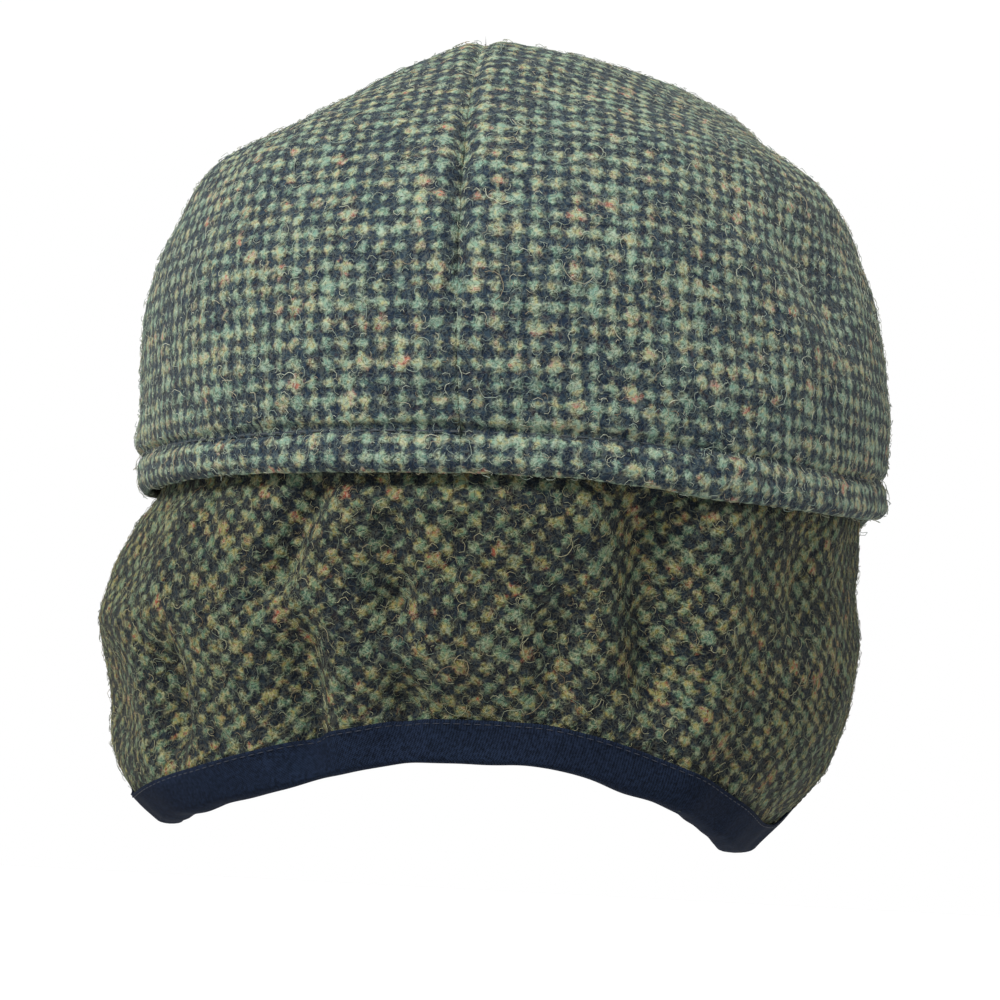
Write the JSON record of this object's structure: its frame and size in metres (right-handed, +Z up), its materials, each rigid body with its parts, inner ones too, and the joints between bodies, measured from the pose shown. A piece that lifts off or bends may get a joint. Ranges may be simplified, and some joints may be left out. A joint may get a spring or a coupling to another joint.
{
  "type": "earflap flat cap",
  "caption": "Tweed flat cap with a seamed crown, stitched hem, short stiff peak and a bound ear and neck flap folded down.",
  "frame": {"origin": "the middle of the head opening, level with the hem, which is where a head holds the cap", "axes": "-Y to the wearer's front (the peak), +X to the wearer's left, +Z up through the crown"},
  "size_m": [0.196, 0.2728, 0.187],
  "materials": {
    "crown_tweed": "woolly green, teal and navy tweed with a spotted weave, cut on the straight grain",
    "flap_tweed": "the same woolly tweed, cut on the bias",
    "navy_binding": "matt navy cotton tape, finely woven"
  },
  "bodies": {
    "root": {"crown_left": "crown_tweed", "crown_right": "crown_tweed", "peak": "crown_tweed", "ear_flap": "flap_tweed", "flap_binding": "navy_binding"}
  },
  "joints": []
}
